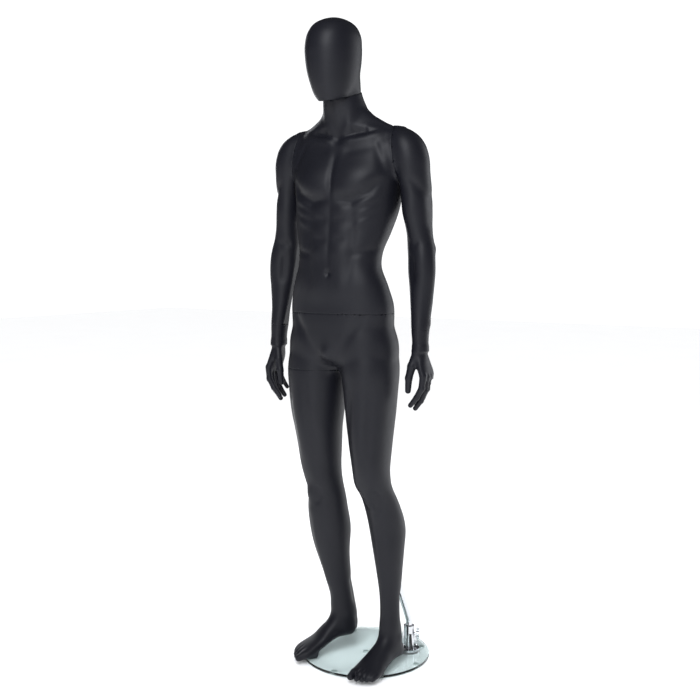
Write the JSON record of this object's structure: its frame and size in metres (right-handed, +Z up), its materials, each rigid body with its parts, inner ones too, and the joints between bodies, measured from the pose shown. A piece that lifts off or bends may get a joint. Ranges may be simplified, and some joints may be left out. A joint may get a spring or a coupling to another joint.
{
  "type": "full body mannequin",
  "caption": "Standing male store mannequin in hollow shells joined by twist-lock fittings at neck, shoulders, wrists, waist and thigh, on a round glass base with a bent calf rod.",
  "frame": {"origin": "on the floor under the centre of the glass disc, at the underside of the middle bumper pad", "axes": "+Z up, the figure faces -Y, its left side is +X"},
  "size_m": [0.5156, 0.4415, 1.8351],
  "materials": {
    "shell_black": "satin charcoal-black lacquer on moulded shell",
    "chrome": "polished chrome plate",
    "steel": "zinc-plated steel",
    "glass_green": "tempered clear glass, pale green, polished edge",
    "pad_clear": "soft clear bumper pad",
    "gasket_rubber": "thin black rubber sheet"
  },
  "bodies": {
    "base": {"glass_disc": "glass_green", "bumper_pads": "pad_clear", "foot_gasket": "gasket_rubber", "base_fitting": "chrome", "clamp_plate": "steel", "base_screws": "steel"},
    "thumb_screw": {"thumb_screw": "chrome"},
    "rod": {"calf_rod": "chrome"},
    "hips": {"hips_left_leg_shell": "shell_black", "calf_socket": "steel", "waist_socket_plate": "steel", "thigh_socket_plate": "steel", "hip_screws": "steel"},
    "right_leg": {"right_leg_shell": "shell_black", "thigh_stud": "steel", "thigh_screws": "steel"},
    "torso": {"torso_shell": "shell_black", "waist_stud": "steel", "neck_socket_plate": "steel", "left_shoulder_plate": "steel", "right_shoulder_plate": "steel", "torso_screws": "steel"},
    "head": {"head_shell": "shell_black", "head_stud": "steel", "head_screws": "steel"},
    "left_arm": {"left_arm_shell": "shell_black", "left_arm_stud": "steel", "left_arm_screws": "steel", "left_wrist_socket": "steel"},
    "right_arm": {"right_arm_shell": "shell_black", "right_arm_stud": "steel", "right_arm_screws": "steel", "right_wrist_socket": "steel"},
    "left_hand": {"left_hand": "shell_black", "left_wrist_stud": "steel"},
    "right_hand": {"right_hand": "shell_black", "right_wrist_stud": "steel"}
  },
  "joints": [
    {"name": "thumb_screw_turn", "type": "hinge", "parent": "base", "child": "thumb_screw", "pos_m": [0.105, 0.076, 0.062], "axis": [0.9397, 0.342, 0], "range_deg": [0, 720]},
    {"name": "rod_lift", "type": "slide", "parent": "base", "child": "rod", "axis": [0, 0, 1], "range_m": [0, 0.045]},
    {"name": "figure_lift", "type": "slide", "parent": "rod", "child": "hips", "axis": [0, -0.454, 0.891], "range_m": [0, 0.08]},
    {"name": "right_leg_turn", "type": "hinge", "parent": "hips", "child": "right_leg", "pos_m": [-0.09, -0.112, 0.875], "axis": [0, 0, 1], "range_deg": [-8, 8]},
    {"name": "waist_turn", "type": "hinge", "parent": "hips", "child": "torso", "pos_m": [-0.005, -0.119, 1.036], "axis": [0, 0, 1], "range_deg": [-20, 20]},
    {"name": "head_turn", "type": "hinge", "parent": "torso", "child": "head", "pos_m": [-0.006, -0.118, 1.634], "axis": [0, -0.2756, 0.9613], "range_deg": [-55, 55]},
    {"name": "left_arm_swing", "type": "hinge", "parent": "torso", "child": "left_arm", "pos_m": [0.14973, -0.06171, 1.452], "axis": [-0.9848, -0.1035, -0.1392], "range_deg": [-25, 75]},
    {"name": "right_arm_swing", "type": "hinge", "parent": "torso", "child": "right_arm", "pos_m": [-0.16056, -0.09433, 1.452], "axis": [-0.9848, -0.1035, 0.1392], "range_deg": [-25, 75]},
    {"name": "left_hand_turn", "type": "hinge", "parent": "left_arm", "child": "left_hand", "pos_m": [0.21935, -0.07006, 0.992], "axis": [-0.0382, 0.0913, 0.9951], "range_deg": [-40, 40]},
    {"name": "right_hand_turn", "type": "hinge", "parent": "right_arm", "child": "right_hand", "pos_m": [-0.22693, -0.11696, 0.992], "axis": [0.0184, 0.0972, 0.9951], "range_deg": [-40, 40]}
  ]
}
